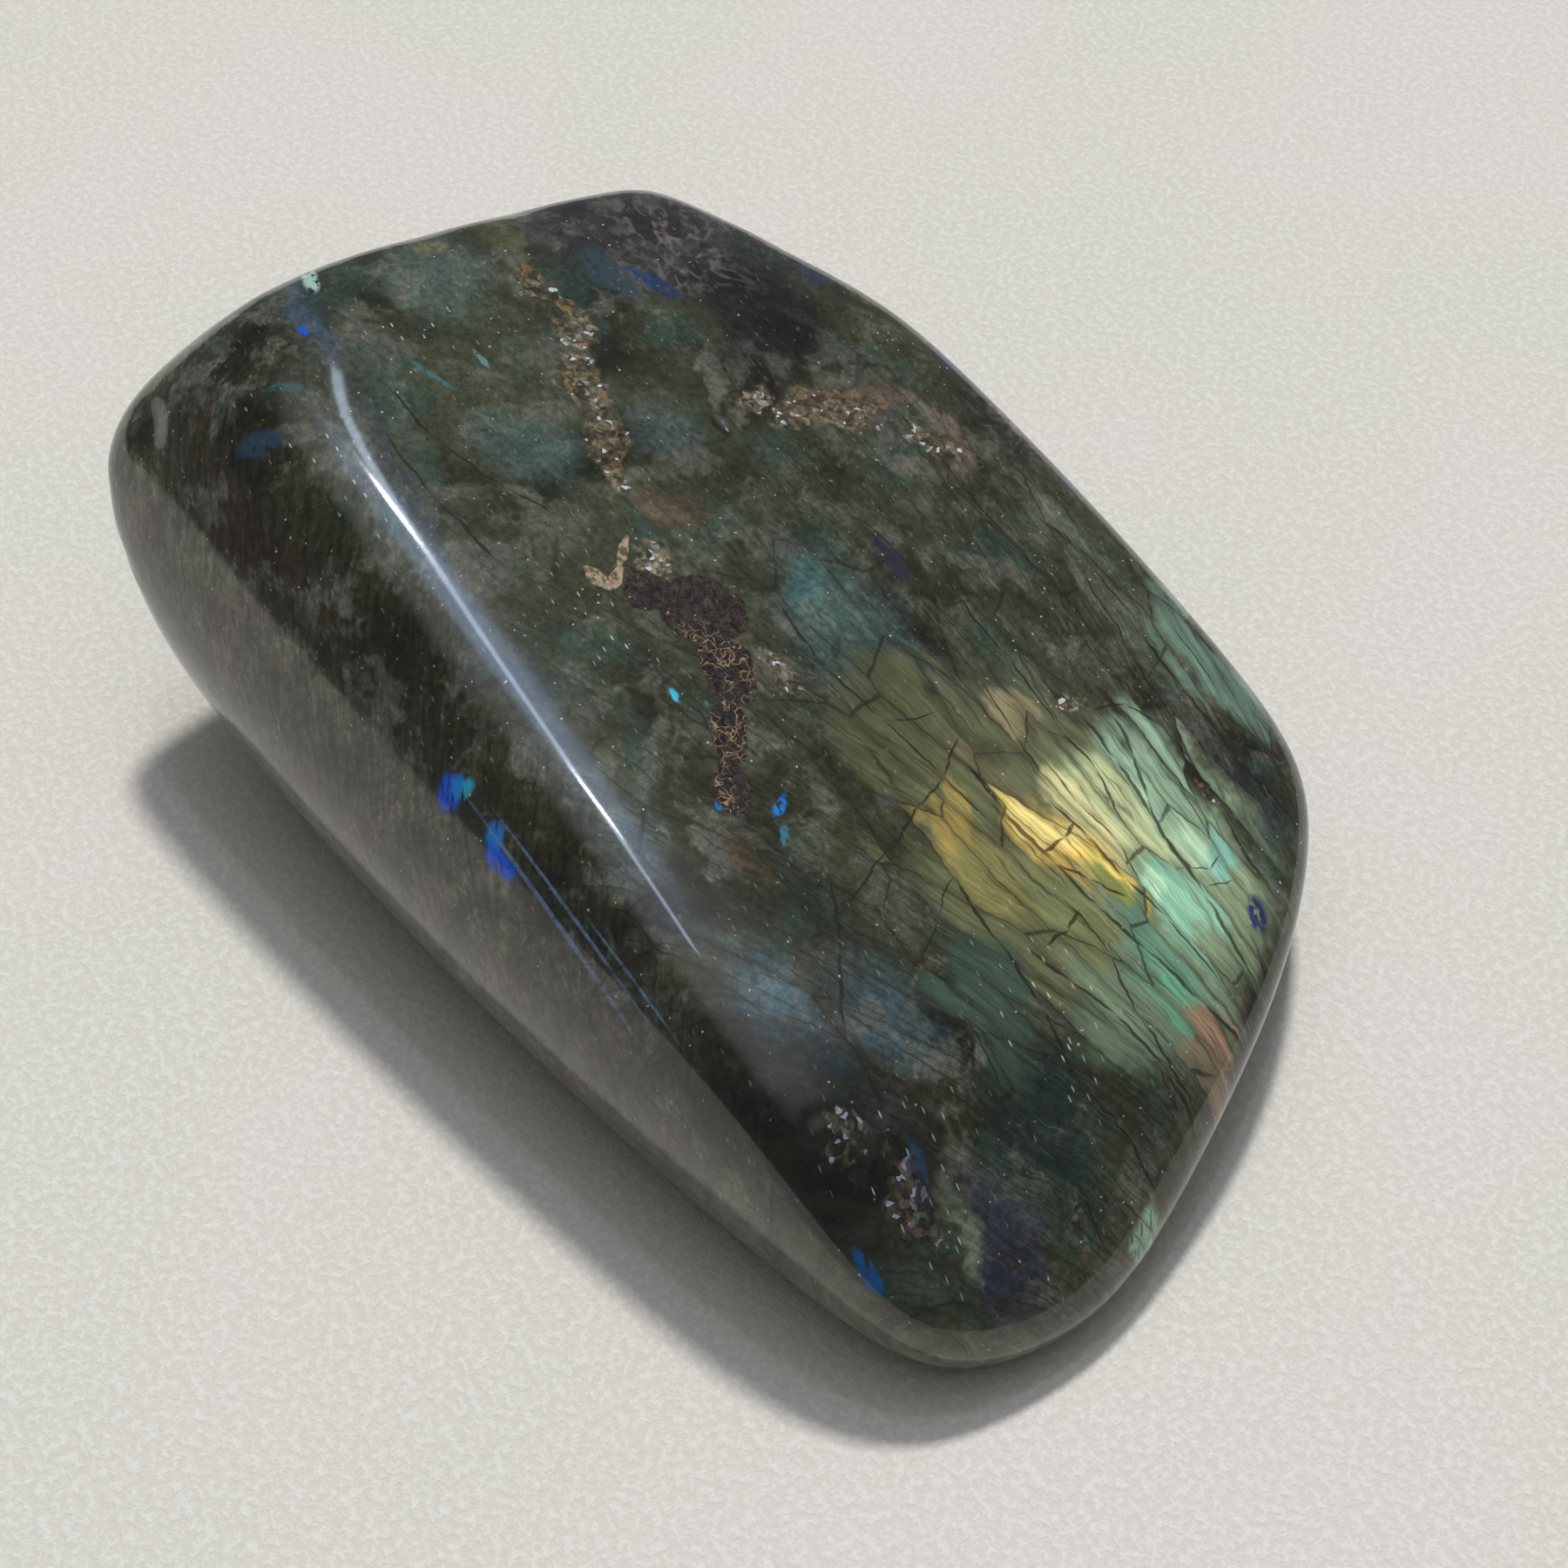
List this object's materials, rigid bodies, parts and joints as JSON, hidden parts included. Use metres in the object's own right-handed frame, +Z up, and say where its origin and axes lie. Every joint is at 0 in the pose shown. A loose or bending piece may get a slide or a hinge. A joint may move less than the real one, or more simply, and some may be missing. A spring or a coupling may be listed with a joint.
{
  "type": "polished labradorite stone",
  "caption": "Wedge-shaped freeform of polished labradorite with broad soft-edged ground faces and a flat base to stand on.",
  "frame": {"origin": "middle of the stone's box in plan, on the flat base that it stands on", "axes": "+X along the stone from the thick end to the thin tip, +Y across it to the long low side, +Z up"},
  "size_m": [0.1042, 0.0756, 0.0377],
  "materials": {
    "labradorite": "polished stone: dark olive-grey feldspar with blue, green and gold flash under a high gloss"
  },
  "bodies": {
    "root": {"stone": "labradorite"}
  },
  "joints": []
}
